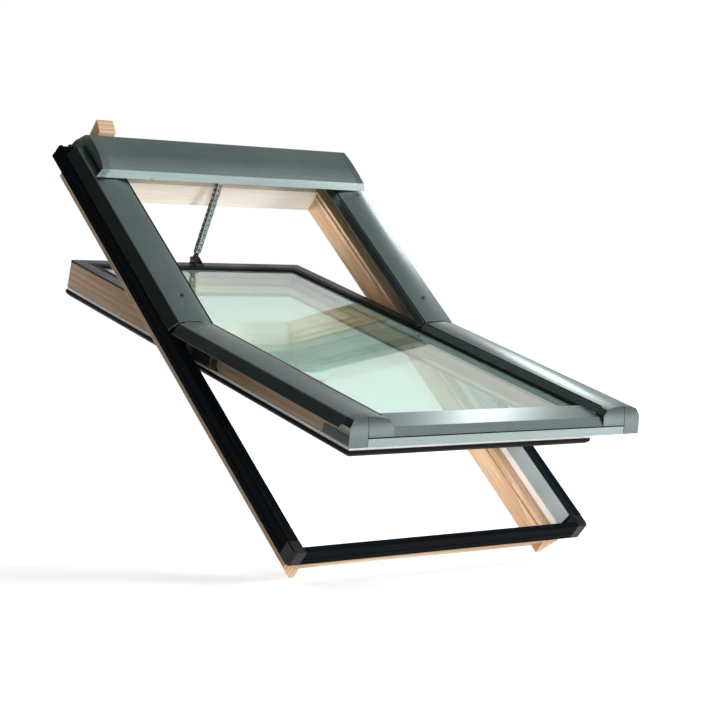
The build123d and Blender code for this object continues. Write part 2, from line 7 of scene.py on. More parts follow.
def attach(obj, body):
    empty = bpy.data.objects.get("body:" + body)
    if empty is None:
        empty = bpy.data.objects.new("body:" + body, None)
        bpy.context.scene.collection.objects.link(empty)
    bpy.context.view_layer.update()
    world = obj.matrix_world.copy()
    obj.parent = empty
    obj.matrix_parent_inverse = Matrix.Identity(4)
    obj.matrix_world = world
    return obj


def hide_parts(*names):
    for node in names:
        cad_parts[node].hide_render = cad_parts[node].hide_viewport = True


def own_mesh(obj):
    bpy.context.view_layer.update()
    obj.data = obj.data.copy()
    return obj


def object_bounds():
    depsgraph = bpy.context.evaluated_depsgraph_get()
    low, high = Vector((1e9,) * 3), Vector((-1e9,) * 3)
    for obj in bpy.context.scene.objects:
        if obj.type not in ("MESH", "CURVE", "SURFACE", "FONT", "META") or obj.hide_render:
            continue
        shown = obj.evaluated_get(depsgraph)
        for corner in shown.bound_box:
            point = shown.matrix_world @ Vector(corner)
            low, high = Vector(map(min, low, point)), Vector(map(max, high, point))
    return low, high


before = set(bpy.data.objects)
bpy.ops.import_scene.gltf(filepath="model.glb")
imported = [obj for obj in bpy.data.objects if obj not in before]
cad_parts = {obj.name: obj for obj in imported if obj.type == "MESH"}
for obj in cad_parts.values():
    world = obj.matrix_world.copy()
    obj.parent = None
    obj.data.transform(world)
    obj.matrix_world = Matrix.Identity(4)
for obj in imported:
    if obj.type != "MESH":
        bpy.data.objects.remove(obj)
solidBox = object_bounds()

scene = bpy.context.scene
scene.view_settings.view_transform = "Standard"

# where the window stands, the same numbers as the solids: angles in degrees, lengths in metres
windowPlace = {
    "roofPitch": 44.0,
    "sashAngle": 26.8,
    "timberInset": 0.024,
    "halfDepth": 0.035,
    "pivotAlong": 0.586,
    "pivotOut": 0.056,
}
frameTilt = windowPlace["roofPitch"]
sashTilt = windowPlace["roofPitch"] - windowPlace["sashAngle"]


# a point given across the roof, up its slope and out of it
def roofPoint(side, along, out):
    turn = math.radians(windowPlace["roofPitch"])
    up = along - windowPlace["timberInset"]
    off = out + windowPlace["halfDepth"]
    back = up * math.cos(turn) - off * math.sin(turn)
    height = up * math.sin(turn) + off * math.cos(turn)
    return Vector((side, back, height))


# the same for a point of the sash, which stands open
def sashPoint(side, along, out):
    turn = math.radians(windowPlace["sashAngle"])
    fromPivot = along - windowPlace["pivotAlong"]
    offPivot = out - windowPlace["pivotOut"]
    turnedAlong = windowPlace["pivotAlong"] + fromPivot * math.cos(turn) + offPivot * math.sin(turn)
    turnedOut = windowPlace["pivotOut"] + offPivot * math.cos(turn) - fromPivot * math.sin(turn)
    return roofPoint(side, turnedAlong, turnedOut)


# node helpers
softSamples = 4  # rays that soften an edge
noiseMiddle = (0.3, 0.7)  # most of a noise lies between these


def addNode(tree, kind, values=None, **settings):
    made = tree.nodes.new(kind)
    for name, value in settings.items():
        setattr(made, name, value)
    for name, value in (values or {}).items():
        made.inputs[name].default_value = value
    return made


def link(tree, start, end):
    tree.links.new(start, end)


def mathNode(tree, work, first, second=None, third=None, clamp=False):
    made = addNode(tree, "ShaderNodeMath", operation=work, use_clamp=clamp)
    for place, value in enumerate((first, second, third)):
        if value is None:
            continue
        if isinstance(value, (int, float)):
            made.inputs[place].default_value = value
        else:
            link(tree, value, made.inputs[place])
    return made.outputs[0]


# the node's colour mix has its amount and colours at 0, 6 and 7 and its result at 2
def mixColour(tree, amount, first, second, blend="MIX"):
    made = addNode(tree, "ShaderNodeMix", data_type="RGBA", blend_type=blend)
    for place, value in ((0, amount), (6, first), (7, second)):
        if isinstance(value, (int, float)):
            made.inputs[place].default_value = value
        elif isinstance(value, tuple):
            made.inputs[place].default_value = (*value, 1.0)
        else:
            link(tree, value, made.inputs[place])
    return made.outputs[2]


def spread(tree, value, low, high, toLow=0.0, toHigh=1.0):
    reach = {"From Min": low, "From Max": high, "To Min": toLow, "To Max": toHigh}
    made = addNode(tree, "ShaderNodeMapRange", reach)
    link(tree, value, made.inputs["Value"])
    return made.outputs["Result"]


def toned(colour, lift):
    return tuple(lift * part for part in colour)


def openFinish(name):
    finish = bpy.data.materials.new(name)
    finish.use_nodes = True
    tree = finish.node_tree
    tree.nodes.clear()
    shader = addNode(tree, "ShaderNodeBsdfPrincipled")
    out = addNode(tree, "ShaderNodeOutputMaterial")
    link(tree, shader.outputs[0], out.inputs["Surface"])
    return finish, tree, shader


# coordinates along the member: x across, y up the slope, z outwards, each divided by the stretch
def memberSpace(tree, tilt, stretch=(1.0, 1.0, 1.0)):
    place = addNode(tree, "ShaderNodeTexCoord")
    turn = addNode(tree, "ShaderNodeMapping", vector_type="TEXTURE")
    turn.inputs["Rotation"].default_value = (math.radians(tilt), 0.0, 0.0)
    turn.inputs["Scale"].default_value = stretch
    link(tree, place.outputs["Object"], turn.inputs["Vector"])
    return turn.outputs["Vector"]


def stretched(lengthways, amount):
    return {"x": (amount, 1.0, 1.0), "y": (1.0, amount, 1.0)}[lengthways]


def noise(tree, space, scale, detail=3.0, rough=0.5):
    made = addNode(tree, "ShaderNodeTexNoise", {"Scale": scale, "Detail": detail, "Roughness": rough})
    link(tree, space, made.inputs["Vector"])
    return made.outputs["Fac"]


# how near a point is to an edge, 0 on a flat, up to 1 on the edge
def edgeShare(tree, radius, gain):
    soft = addNode(tree, "ShaderNodeBevel", {"Radius": radius}, samples=softSamples)
    flat = addNode(tree, "ShaderNodeNewGeometry")
    meet = addNode(tree, "ShaderNodeVectorMath", operation="DOT_PRODUCT")
    link(tree, soft.outputs["Normal"], meet.inputs[0])
    link(tree, flat.outputs["Normal"], meet.inputs[1])
    away = mathNode(tree, "SUBTRACT", 1.0, meet.outputs["Value"])
    return mathNode(tree, "MULTIPLY", away, gain, clamp=True)


# how far a surface looks one way, from 0 below low to 1 above high
def facingShare(tree, way, low, high):
    flat = addNode(tree, "ShaderNodeNewGeometry")
    facing = addNode(tree, "ShaderNodeVectorMath", operation="DOT_PRODUCT")
    link(tree, flat.outputs["Normal"], facing.inputs[0])
    facing.inputs[1].default_value = way
    return spread(tree, facing.outputs["Value"], low, high)


# surface relief over softened edges
def relief(tree, shader, height, strength, distance, edgeRadius):
    bump = addNode(tree, "ShaderNodeBump", {"Strength": strength, "Distance": distance})
    link(tree, height, bump.inputs["Height"])
    soft = addNode(tree, "ShaderNodeBevel", {"Radius": edgeRadius}, samples=softSamples)
    link(tree, soft.outputs["Normal"], bump.inputs["Normal"])
    link(tree, bump.outputs["Normal"], shader.inputs["Normal"])


# pine: rings bent by a slow drift, fibres, and a few lengthened knots
pineLook = {
    "light": (0.76, 0.555, 0.375),
    "late": (0.585, 0.365, 0.215),
    "lateFrom": 0.45,
    "stretch": 9.0,
    "driftScale": 9.0,
    "driftReach": (0.05, 0.05, 0.05),
    "rings": {"Scale": 26.0, "Distortion": 1.2, "Detail": 2.0, "Detail Scale": 1.5},
    "ringHeight": 0.4,
    "fibreStretch": 30.0,
    "fibreScale": 250.0,
    "fibreBand": (0.3, 0.72),
    "fibreTones": ((0.70, 0.65, 0.60), (1.12, 1.12, 1.12)),
    "slowScale": 14.0,
    "slowTones": ((0.86, 0.84, 0.80), (1.12, 1.12, 1.14)),
    "knot": (0.20, 0.085, 0.03),
    "knotStretch": 2.2,
    "knotScale": 4.2,
    "knotEdges": (0.075, 0.03),
    "knotShare": 0.8,
    # painted light: these paler colours go on the head's faces towards the opening and stand in for the
    # bright light on them
    "pale": (0.95, 0.905, 0.845),
    "paleLate": (0.90, 0.76, 0.64),
    "paleScale": 70.0,
    "paleLines": (0.42, 0.70),
    "palePatches": (0.35, 0.60),
    "roomSide": (0.0, -1.0, 0.0),
    "roomFacing": (0.3, 0.6),
    "worn": (0.80, 0.60, 0.38),
    "wornWidth": 0.0016,
    "wornGain": 1.3,
    "wornShare": 0.35,
    "gloss": (0.42, 0.62),
    "glossBand": (0.2, 0.8),
    "coat": 0.12,
    "coatGloss": 0.3,
    "relief": {"strength": 0.22, "distance": 0.0005, "edgeRadius": 0.0014},
}


def pineFinish(name, tilt, lengthways, shade=1.0, pale=0.0):
    look = pineLook
    finish, tree, shader = openFinish(name)
    space = memberSpace(tree, tilt, stretched(lengthways, look["stretch"]))
    fibreSpace = memberSpace(tree, tilt, stretched(lengthways, look["fibreStretch"]))
    knotSpace = memberSpace(tree, tilt, stretched(lengthways, look["knotStretch"]))
    drift = addNode(tree, "ShaderNodeTexNoise", {"Scale": look["driftScale"], "Detail": 2.0})
    link(tree, space, drift.inputs["Vector"])
    bent = addNode(tree, "ShaderNodeVectorMath", operation="MULTIPLY_ADD")
    link(tree, drift.outputs["Color"], bent.inputs[0])
    bent.inputs[1].default_value = look["driftReach"]
    link(tree, space, bent.inputs[2])
    rings = addNode(tree, "ShaderNodeTexWave", look["rings"], wave_type="RINGS", wave_profile="SAW",
                    rings_direction=lengthways.upper())
    link(tree, bent.outputs["Vector"], rings.inputs["Vector"])
    late = spread(tree, rings.outputs["Fac"], look["lateFrom"], 1.0)
    fibres = noise(tree, fibreSpace, look["fibreScale"], 5.0, 0.7)
    slow = noise(tree, space, look["slowScale"], 2.0)
    knots = addNode(tree, "ShaderNodeTexVoronoi", {"Scale": look["knotScale"], "Randomness": 1.0})
    link(tree, knotSpace, knots.inputs["Vector"])
    knot = spread(tree, knots.outputs["Distance"], *look["knotEdges"])
    # shade darkens a copy of the pine as painted shade
    colour = mixColour(tree, late, toned(look["light"], shade), toned(look["late"], shade))
    fibreTone = mixColour(tree, spread(tree, fibres, *look["fibreBand"]), *look["fibreTones"])
    colour = mixColour(tree, 1.0, colour, fibreTone, "MULTIPLY")
    slowTone = mixColour(tree, slow, *look["slowTones"])
    colour = mixColour(tree, 1.0, colour, slowTone, "MULTIPLY")
    knotted = mathNode(tree, "MULTIPLY", knot, look["knotShare"], clamp=True)
    colour = mixColour(tree, knotted, colour, look["knot"])
    if pale:
        # painted light: the faces towards the opening are painted paler, as if brightly lit, with some of the
        # grain left in them
        lines = spread(tree, noise(tree, fibreSpace, look["paleScale"], 4.0, 0.7), *look["paleLines"])
        patches = spread(tree, slow, *look["palePatches"])
        streaks = mathNode(tree, "MULTIPLY", lines, patches, clamp=True)
        paintedLight = mixColour(tree, streaks, look["pale"], look["paleLate"])
        inner = facingShare(tree, look["roomSide"], *look["roomFacing"])
        colour = mixColour(tree, mathNode(tree, "MULTIPLY", inner, pale), colour, paintedLight)
    worn = edgeShare(tree, look["wornWidth"], look["wornGain"])
    colour = mixColour(tree, mathNode(tree, "MULTIPLY", worn, look["wornShare"]), colour, look["worn"])
    link(tree, colour, shader.inputs["Base Color"])
    link(tree, spread(tree, fibres, *look["glossBand"], *look["gloss"]), shader.inputs["Roughness"])
    height = mathNode(tree, "SUBTRACT", fibres, mathNode(tree, "MULTIPLY", late, look["ringHeight"]))
    relief(tree, shader, height, **look["relief"])
    shader.inputs["Coat Weight"].default_value = look["coat"]
    shader.inputs["Coat Roughness"].default_value = look["coatGloss"]
    return finish


# grey satin coat on the bent covers, with fine streaks, specks and flakes
coverLook = {
    "dark": (0.205, 0.268, 0.266),
    "light": (0.255, 0.328, 0.325),
    "cloudScale": 5.0,
    # painted light: the paler coat given to faces that look forward and down
    "paintedLitCoat": (0.42, 0.505, 0.505),
    "paintedLitSide": (0.0, -0.96, -0.29),
    "paintedLitFacing": (0.55, 0.95),
    "paintedLitShare": 0.9,
    "stretch": 40.0,
    "streakScale": 160.0,
    "streakTones": ((0.93, 0.93, 0.93), (1.07, 1.07, 1.07)),
    "speckScale": 330.0,
    "speckTones": ((0.91, 0.91, 0.91), (1.09, 1.09, 1.09)),
    "flake": (0.42, 0.47, 0.47),
    "flakeScale": 1500.0,
    "flakeFrom": 0.6,
    "flakeShare": 0.14,
    "edge": (0.46, 0.53, 0.53),
    "wornWidth": 0.0012,
    "wornGain": 1.2,
    "wornShare": 0.5,
    "metal": 0.97,
    "gloss": (0.27, 0.35),
    "peelScale": 520.0,
    "relief": {"strength": 0.05, "distance": 0.0002, "edgeRadius": 0.0012},
}


def coverFinish(name, tilt, lengthways, lift=1.0, paintedLitCoat=1.0, dull=0.0):
    look = coverLook
    finish, tree, shader = openFinish(name)
    drawn = memberSpace(tree, tilt, stretched(lengthways, look["stretch"]))
    plain = memberSpace(tree, tilt)
    streak = noise(tree, drawn, look["streakScale"], 3.0, 0.6)
    cloud = noise(tree, plain, look["cloudScale"])
    flake = addNode(tree, "ShaderNodeTexVoronoi", {"Scale": look["flakeScale"]})
    link(tree, plain, flake.inputs["Vector"])
    peel = noise(tree, plain, look["peelScale"], 2.0)
    clouded = spread(tree, cloud, *noiseMiddle)
    base = mixColour(tree, clouded, toned(look["dark"], lift), toned(look["light"], lift))
    # painted light: paler where the coat looks forward and down, where the light falls on it
    facing = facingShare(tree, look["paintedLitSide"], *look["paintedLitFacing"])
    paintedLitMask = mathNode(tree, "MULTIPLY", facing, look["paintedLitShare"])
    base = mixColour(tree, paintedLitMask, base, toned(look["paintedLitCoat"], paintedLitCoat))
    streakTone = mixColour(tree, streak, *look["streakTones"])
    base = mixColour(tree, 1.0, base, streakTone, "MULTIPLY")
    specks = spread(tree, noise(tree, plain, look["speckScale"], 1.0), *noiseMiddle)
    base = mixColour(tree, 1.0, base, mixColour(tree, specks, *look["speckTones"]), "MULTIPLY")
    flakes = spread(tree, flake.outputs["Color"], look["flakeFrom"], 1.0)
    base = mixColour(tree, mathNode(tree, "MULTIPLY", flakes, look["flakeShare"]), base, look["flake"])
    worn = edgeShare(tree, look["wornWidth"], look["wornGain"])
    base = mixColour(tree, mathNode(tree, "MULTIPLY", worn, look["wornShare"]), base, look["edge"])
    link(tree, base, shader.inputs["Base Color"])
    shader.inputs["Metallic"].default_value = look["metal"]
    if dull:
        lost = mathNode(tree, "MULTIPLY", paintedLitMask, dull)
        link(tree, mathNode(tree, "SUBTRACT", look["metal"], lost), shader.inputs["Metallic"])
    link(tree, spread(tree, cloud, *noiseMiddle, *look["gloss"]), shader.inputs["Roughness"])
    relief(tree, shader, peel, **look["relief"])
    return finish


# black coated profile, drawn lengthways
profileLook = {
    "colour": (0.0018, 0.0030, 0.0042),
    "line": (0.0040, 0.0060, 0.0082),
    "stretch": 60.0,
    "lineScale": 380.0,
    "lineBand": (0.4, 0.7),
    "cloudScale": 9.0,
    "dust": (0.014, 0.018, 0.021),
    "dustBand": (0.5, 0.8),
    "dustShare": 0.12,
    "edge": (0.024, 0.030, 0.036),
    "wornWidth": 0.001,
    "wornGain": 1.0,
    "wornShare": 0.6,
    "gloss": (0.36, 0.50),
    "shine": 0.015,
    "relief": {"strength": 0.10, "distance": 0.0003, "edgeRadius": 0.001},
}


def profileFinish(name, tilt, lengthways, lift=1.0):
    look = profileLook
    finish, tree, shader = openFinish(name)
    drawn = memberSpace(tree, tilt, stretched(lengthways, look["stretch"]))
    plain = memberSpace(tree, tilt)
    lines = noise(tree, drawn, look["lineScale"], 3.0, 0.6)
    cloud = noise(tree, plain, look["cloudScale"])
    lined = spread(tree, lines, *look["lineBand"])
    # lift makes a lighter copy of the colour and shine, as painted light
    base = mixColour(tree, lined, toned(look["colour"], lift), toned(look["line"], lift))
    dust = mathNode(tree, "MULTIPLY", spread(tree, cloud, *look["dustBand"]), look["dustShare"])
    base = mixColour(tree, dust, base, look["dust"])
    worn = edgeShare(tree, look["wornWidth"], look["wornGain"])
    base = mixColour(tree, mathNode(tree, "MULTIPLY", worn, look["wornShare"]), base, look["edge"])
    link(tree, base, shader.inputs["Base Color"])
    link(tree, spread(tree, cloud, *noiseMiddle, *look["gloss"]), shader.inputs["Roughness"])
    shader.inputs["Specular IOR Level"].default_value = look["shine"] * lift
    relief(tree, shader, lines, **look["relief"])
    return finish


# moulded plastic, rubber and sheet metal share one build with their own numbers
mouldedBuild = {
    "stretch": 24.0,
    "lineScale": 300.0,
    "lineShare": 0.5,
    "cloudScale": 11.0,
    "cloudTones": ((0.88, 0.88, 0.88), (1.10, 1.10, 1.10)),
    "wornGain": 1.1,
    "wornShare": 0.6,
    "glossDown": 0.05,
    "glossUp": 0.09,
    "distance": 0.0003,
    "edgeRadius": 0.0008,
    "edgeWidth": 0.0009,
    "shine": 0.5,
}
mouldedLooks = {
    "blackMoulding": {
        "dark": (0.003, 0.004, 0.006), "light": (0.007, 0.009, 0.011), "edge": (0.035, 0.04, 0.045),
        "metal": 0.0, "gloss": 0.28, "shine": 0.20, "grain": 900.0, "depth": 0.12},
    # painted shade: the bare metal side plate is given a dark grey
    "plateInShade": {
        "dark": (0.060, 0.085, 0.086), "light": (0.105, 0.140, 0.142), "edge": (0.24, 0.28, 0.28),
        "metal": 0.2, "gloss": 0.42, "shine": 0.3, "grain": 650.0, "depth": 0.06},
    # painted highlight: the slate strip's wide pale edge stands in for the light line along its edges
    "slateStripLitEdge": {
        "dark": (0.015, 0.021, 0.022), "light": (0.032, 0.043, 0.044), "edge": (0.42, 0.48, 0.49),
        "metal": 0.5, "gloss": 0.34, "shine": 0.4, "grain": 700.0, "depth": 0.06, "edgeWidth": 0.0024},
    "blackRubber": {
        "dark": (0.004, 0.0045, 0.005), "light": (0.010, 0.011, 0.012), "edge": (0.030, 0.032, 0.034),
        "metal": 0.0, "gloss": 0.46, "shine": 0.06, "grain": 700.0, "depth": 0.18},
    "whitePlastic": {
        "dark": (0.80, 0.81, 0.80), "light": (0.90, 0.905, 0.90), "edge": (0.92, 0.925, 0.92),
        "metal": 0.0, "gloss": 0.40, "grain": 600.0, "depth": 0.05},
    "millAluminium": {
        "dark": (0.36, 0.43, 0.435), "light": (0.48, 0.565, 0.57), "edge": (0.66, 0.72, 0.72),
        "metal": 0.35, "gloss": 0.34, "grain": 500.0, "depth": 0.06},
    "spacerBar": {
        "dark": (0.30, 0.32, 0.33), "light": (0.46, 0.48, 0.49), "edge": (0.62, 0.64, 0.65),
        "metal": 0.8, "gloss": 0.38, "grain": 800.0, "depth": 0.08},
    "zincSteel": {
        "dark": (0.38, 0.39, 0.40), "light": (0.60, 0.61, 0.63), "edge": (0.78, 0.79, 0.80),
        "metal": 0.95, "gloss": 0.30, "grain": 300.0, "depth": 0.08},
    "blackSteel": {
        "dark": (0.014, 0.015, 0.016), "light": (0.040, 0.042, 0.045), "edge": (0.16, 0.165, 0.17),
        "metal": 0.3, "gloss": 0.36, "shine": 0.4, "grain": 400.0, "depth": 0.10},
}


def mouldedFinish(name, tilt, lengthways):
    look = {**mouldedBuild, **mouldedLooks[name]}
    finish, tree, shader = openFinish(name + {"x": "Across", "y": "Along"}[lengthways] + str(round(tilt)))
    drawn = memberSpace(tree, tilt, stretched(lengthways, look["stretch"]))
    plain = memberSpace(tree, tilt)
    lines = noise(tree, drawn, look["lineScale"], 3.0, 0.6)
    grain = noise(tree, plain, look["grain"], 2.0)
    cloud = noise(tree, plain, look["cloudScale"])
    lined = mathNode(tree, "MULTIPLY_ADD", lines, look["lineShare"], 1.0 - look["lineShare"])
    base = mixColour(tree, lined, look["dark"], look["light"])
    base = mixColour(tree, 1.0, base, mixColour(tree, cloud, *look["cloudTones"]), "MULTIPLY")
    worn = edgeShare(tree, look["edgeWidth"], look["wornGain"])
    base = mixColour(tree, mathNode(tree, "MULTIPLY", worn, look["wornShare"]), base, look["edge"])
    link(tree, base, shader.inputs["Base Color"])
    shader.inputs["Metallic"].default_value = look["metal"]
    shader.inputs["Specular IOR Level"].default_value = look["shine"]
    gloss = (look["gloss"] - look["glossDown"], look["gloss"] + look["glossUp"])
    link(tree, spread(tree, cloud, *noiseMiddle, *gloss), shader.inputs["Roughness"])
    relief(tree, shader, grain, look["depth"], look["distance"], look["edgeRadius"])
    return finish


# glass, faintly green
glassLook = {
    "body": (0.81, 0.935, 0.875),
    "haze": (0.75, 0.905, 0.83),
    "hazeScale": 3.0,
    "bend": 1.5,
    "smearScale": 24.0,
    "smearBand": (0.45, 0.8),
    "gloss": (0.012, 0.032),
    "clear": (0.90, 0.93, 0.91, 1.0),
}


def glassFinish(name):
    look = glassLook
    finish, tree, shader = openFinish(name)
    plain = memberSpace(tree, sashTilt)
    cloud = noise(tree, plain, look["hazeScale"])
    link(tree, mixColour(tree, cloud, look["body"], look["haze"]), shader.inputs["Base Color"])
    shader.inputs["Transmission Weight"].default_value = 1.0
    shader.inputs["IOR"].default_value = look["bend"]
    smear = noise(tree, plain, look["smearScale"], 4.0, 0.6)
    link(tree, spread(tree, smear, *look["smearBand"], *look["gloss"]), shader.inputs["Roughness"])
    # light passes to what lies behind
    clear = addNode(tree, "ShaderNodeBsdfTransparent", {"Color": look["clear"]})
    path = addNode(tree, "ShaderNodeLightPath")
    passing = mathNode(tree, "MAXIMUM", path.outputs["Is Shadow Ray"], path.outputs["Is Diffuse Ray"])
    both = addNode(tree, "ShaderNodeMixShader")
    link(tree, passing, both.inputs[0])
    link(tree, shader.outputs[0], both.inputs[1])
    link(tree, clear.outputs[0], both.inputs[2])
    out = next(node for node in tree.nodes if node.type == "OUTPUT_MATERIAL")
    link(tree, both.outputs[0], out.inputs["Surface"])
    return finish


def dress(finish, *names):
    for name in names:
        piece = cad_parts[name]
        if not piece.material_slots:
            piece.data.materials.append(finish)
        for slot in piece.material_slots:
            slot.material = finish


dress(pineFinish("pineJamb", frameTilt, "y"), "jamb_right", "jamb_left")
dress(pineFinish("pineSill", frameTilt, "x"), "sill")
# the head carries painted light on its faces towards the opening
dress(pineFinish("pineHeadPaintedLight", frameTilt, "x", pale=0.86), "head")
# stiles, rails and batten are darker copies of the pine: painted shade
dress(pineFinish("pineStileShaded", sashTilt, "y", shade=0.68), "stile_right", "stile_left")
dress(pineFinish("pineRailShaded", sashTilt, "x", shade=0.82), "bottom_rail", "top_rail")
dress(pineFinish("pineBattenShaded", frameTilt, "x", shade=0.85), "timber_block")
dress(profileFinish("blackProfileLeft", frameTilt, "y"), "profile_left")
# the right profile is a lighter copy of the black profile: painted light
dress(profileFinish("blackProfileRightLit", frameTilt, "y", lift=2.2), "profile_right")
dress(profileFinish("blackProfileAcross", frameTilt, "x"), "profile_bottom", "profile_top")
dress(mouldedFinish("blackMoulding", frameTilt, "y"), "profile_corner_right", "profile_corner_left")
dress(coverFinish("greyCoatFrame", frameTilt, "y"), "upper_cover_right", "upper_cover_left")
dress(coverFinish("greyCoatHood", frameTilt, "x", dull=0.6), "hood")
dress(coverFinish("greyCoatCaps", frameTilt, "y", lift=0.9), "hood_cap_right", "hood_cap_left")
dress(coverFinish("greyCoatSash", sashTilt, "y"), "lower_cover_right", "lower_cover_left")
# less of the painted light on the bottom cover and front strip, still less on the corners
dress(coverFinish("greyCoatBottom", sashTilt, "x", paintedLitCoat=0.66), "bottom_cover", "front_strip")
cornerCoat = coverFinish("greyCoatCorners", sashTilt, "x", lift=0.75, paintedLitCoat=0.34)
dress(cornerCoat, "corner_cap_right", "corner_cap_left", "corner_shell_right", "corner_shell_left")
dress(mouldedFinish("millAluminium", frameTilt, "y"), "liner_right", "liner_left")
dress(mouldedFinish("plateInShade", sashTilt, "y"), "side_plate")
dress(mouldedFinish("whitePlastic", frameTilt, "y"), "white_strip_right", "white_strip_left")
dress(mouldedFinish("whitePlastic", sashTilt, "x"), "carrier_ring")
dress(mouldedFinish("blackRubber", frameTilt, "y"), "upper_beads")
dress(mouldedFinish("blackRubber", sashTilt, "y"), "lower_beads", "glazing_gasket", "sash_seal")
dress(mouldedFinish("slateStripLitEdge", sashTilt, "y"), "glazing_strip_right", "glazing_strip_left")
dress(mouldedFinish("slateStripLitEdge", sashTilt, "x"), "glazing_strip_top")
dress(mouldedFinish("spacerBar", sashTilt, "x"), "spacer")
dress(mouldedFinish("zincSteel", frameTilt, "x"), "hood_clips", "pivot_pins")
dress(mouldedFinish("blackSteel", frameTilt, "x"), "cover_screws", "chain_end")
dress(mouldedFinish("blackSteel", sashTilt, "x"), "chain_bracket")
dress(mouldedFinish("blackSteel", frameTilt, "y"), "frame_bracket_right", "frame_bracket_left")
pivotSteel = mouldedFinish("blackSteel", sashTilt, "y")
dress(pivotSteel, "pivot_plate_right", "pivot_plate_left", "hinge_case_right", "hinge_case_left")
dress(mouldedFinish("whitePlastic", frameTilt, "x"), "drive_housing")
dress(glassFinish("greenGlass"), "inner_pane", "outer_pane")
print("finishes on", len(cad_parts), "nodes")


# mesh helpers: faces over two rows of points and round between them, and a piece from a mesh
def closeRows(mesh, rows, finish=0):
    faces = [mesh.faces.new(row) for row in rows]
    for here in range(len(rows[0])):
        there = (here + 1) % len(rows[0])
        faces.append(mesh.faces.new((rows[0][here], rows[0][there], rows[1][there], rows[1][here])))
    for face in faces:
        face.material_index = finish


def makePiece(name, mesh, *finishes):
    data = bpy.data.meshes.new(name)
    mesh.to_mesh(data)
    mesh.free()
    piece = bpy.data.objects.new(name, data)
    scene.collection.objects.link(piece)
    for finish in finishes:
        data.materials.append(finish)
    return piece


# push chain, links between the drive and the sash
chain = {
    "links": 19,
    "width": 0.015,
    "depth": 0.0095,
    "sheet": 0.0015,
    "stagger": 0.0005,  # every other pair of plates sits this much closer
    "blockHalf": 0.0036,
    "blockGap": 0.0006,
    "blockChamfer": 0.0008,
    "hole": 0.0021,
    "holeLevels": (0.0003, 0.0006),
    "rim": 0.0007,
    "rimLevels": (0.0, 0.0004),
    "rivet": 0.0026,
    "rivetProud": 0.0004,
    "endSteps": 6,
    "holeSteps": 14,
    "rivetSteps": 12,
    "softEdge": 0.0003,
    "softSteps": 2,
    "footLength": 0.020,
    "woundIn": 0.011,  # share of the chain's length left outside when the sash is shut
    "outlet": (0.012, 1.116, 0.078),
    "pin": (0.012, 1.110, 0.0562),
    "bright": 0,
    "black": 1,
}


def plateOutline(half, radius, steps):
    points = []
    for middle, first in ((half, -math.pi / 2), (-half, math.pi / 2)):
        for count in range(steps + 1):
            turn = first + math.pi * count / steps
            points.append((middle + radius * math.cos(turn), radius * math.sin(turn)))
    return points


def addPrism(mesh, points, low, high, middle, finish):
    rows = [[mesh.verts.new((middle + x, side, z)) for x, z in points] for side in (low, high)]
    closeRows(mesh, rows, finish)


# a round bar, through the plates from the side or standing on the front
def addBar(mesh, along, axis, radius, low, high, steps, finish):
    rows = []
    for level in (low, high):
        ring = []
        for count in range(steps):
            turn = 2 * math.pi * count / steps
            x = along + radius * math.cos(turn)
            away = radius * math.sin(turn)
            ring.append(mesh.verts.new((x, level, away) if axis == "side" else (x, away, level)))
        rows.append(ring)
    closeRows(mesh, rows, finish)


def blockOutline(step):
    end = step / 2 - chain["blockGap"]
    cut = end - chain["blockChamfer"]
    deep = chain["blockHalf"]
    shoulder = deep - chain["blockChamfer"]
    return [(-end, -deep), (end, -deep), (end, shoulder), (cut, deep), (-cut, deep), (-end, shoulder)]


def chainPiece():
    start = roofPoint(*chain["outlet"])
    run = sashPoint(*chain["pin"]) - start
    step = (run.length - chain["footLength"]) / chain["links"]
    along = run.normalized()
    side = Vector((1.0, 0.0, 0.0))
    face = along.cross(side).normalized()  # the drilled faces look to the front
    mesh = bmesh.new()
    half = chain["width"] / 2
    sheet = chain["sheet"]
    reach = half - sheet - chain["stagger"]
    plate = plateOutline(step / 2, chain["depth"] / 2, chain["endSteps"])
    block = blockOutline(step)
    rimLow, rimHigh = (chain["blockHalf"] + level for level in chain["rimLevels"])
    holeLow, holeHigh = (chain["blockHalf"] + level for level in chain["holeLevels"])
    rivetEnd = half + chain["rivetProud"]
    bright, black = chain["bright"], chain["black"]
    for index in range(chain["links"]):
        middle = index * step + step / 2
        outer = half - ((index + 1) % 2) * chain["stagger"]
        addPrism(mesh, plate, -outer, -outer + sheet, middle, black)
        addPrism(mesh, plate, outer - sheet, outer, middle, bright)
        # block between the plates, its front drilled
        addPrism(mesh, block, -reach, reach, middle, bright)
        rim = chain["hole"] + chain["rim"]
        addBar(mesh, middle, "front", rim, rimLow, rimHigh, chain["holeSteps"], bright)
        addBar(mesh, middle, "front", chain["hole"], holeLow, holeHigh, chain["holeSteps"], black)
        addBar(mesh, index * step, "side", chain["rivet"], -rivetEnd, rivetEnd, chain["rivetSteps"], bright)
    bmesh.ops.recalc_face_normals(mesh, faces=mesh.faces)
    zinc = mouldedFinish("zincSteel", frameTilt, "y")
    piece = makePiece("pushChain", mesh, zinc, mouldedFinish("blackSteel", frameTilt, "x"))
    place = Matrix((along, side, face)).transposed().to_4x4()
    place.translation = start
    piece.data.transform(place)
    bevel = piece.modifiers.new("softEdges", "BEVEL")
    bevel.width = chain["softEdge"]
    bevel.segments = chain["softSteps"]
    bevel.limit_method = "ANGLE"
    return piece, start, along


pushChain, chainStart, chainLine = chainPiece()
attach(pushChain, "chain")
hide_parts("chain_links", "chain_blocks")
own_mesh(pushChain)
print("push chain:", chain["links"], "links")

cornerSeal = mouldedFinish("blackRubber", sashTilt, "x")

# dark strip that fills the joint between cap and shell at both front corners
cornerJoint = {"width": 0.0016, "caps": ("corner_cap_right", "corner_cap_left"), "onEnd": 0.00001}


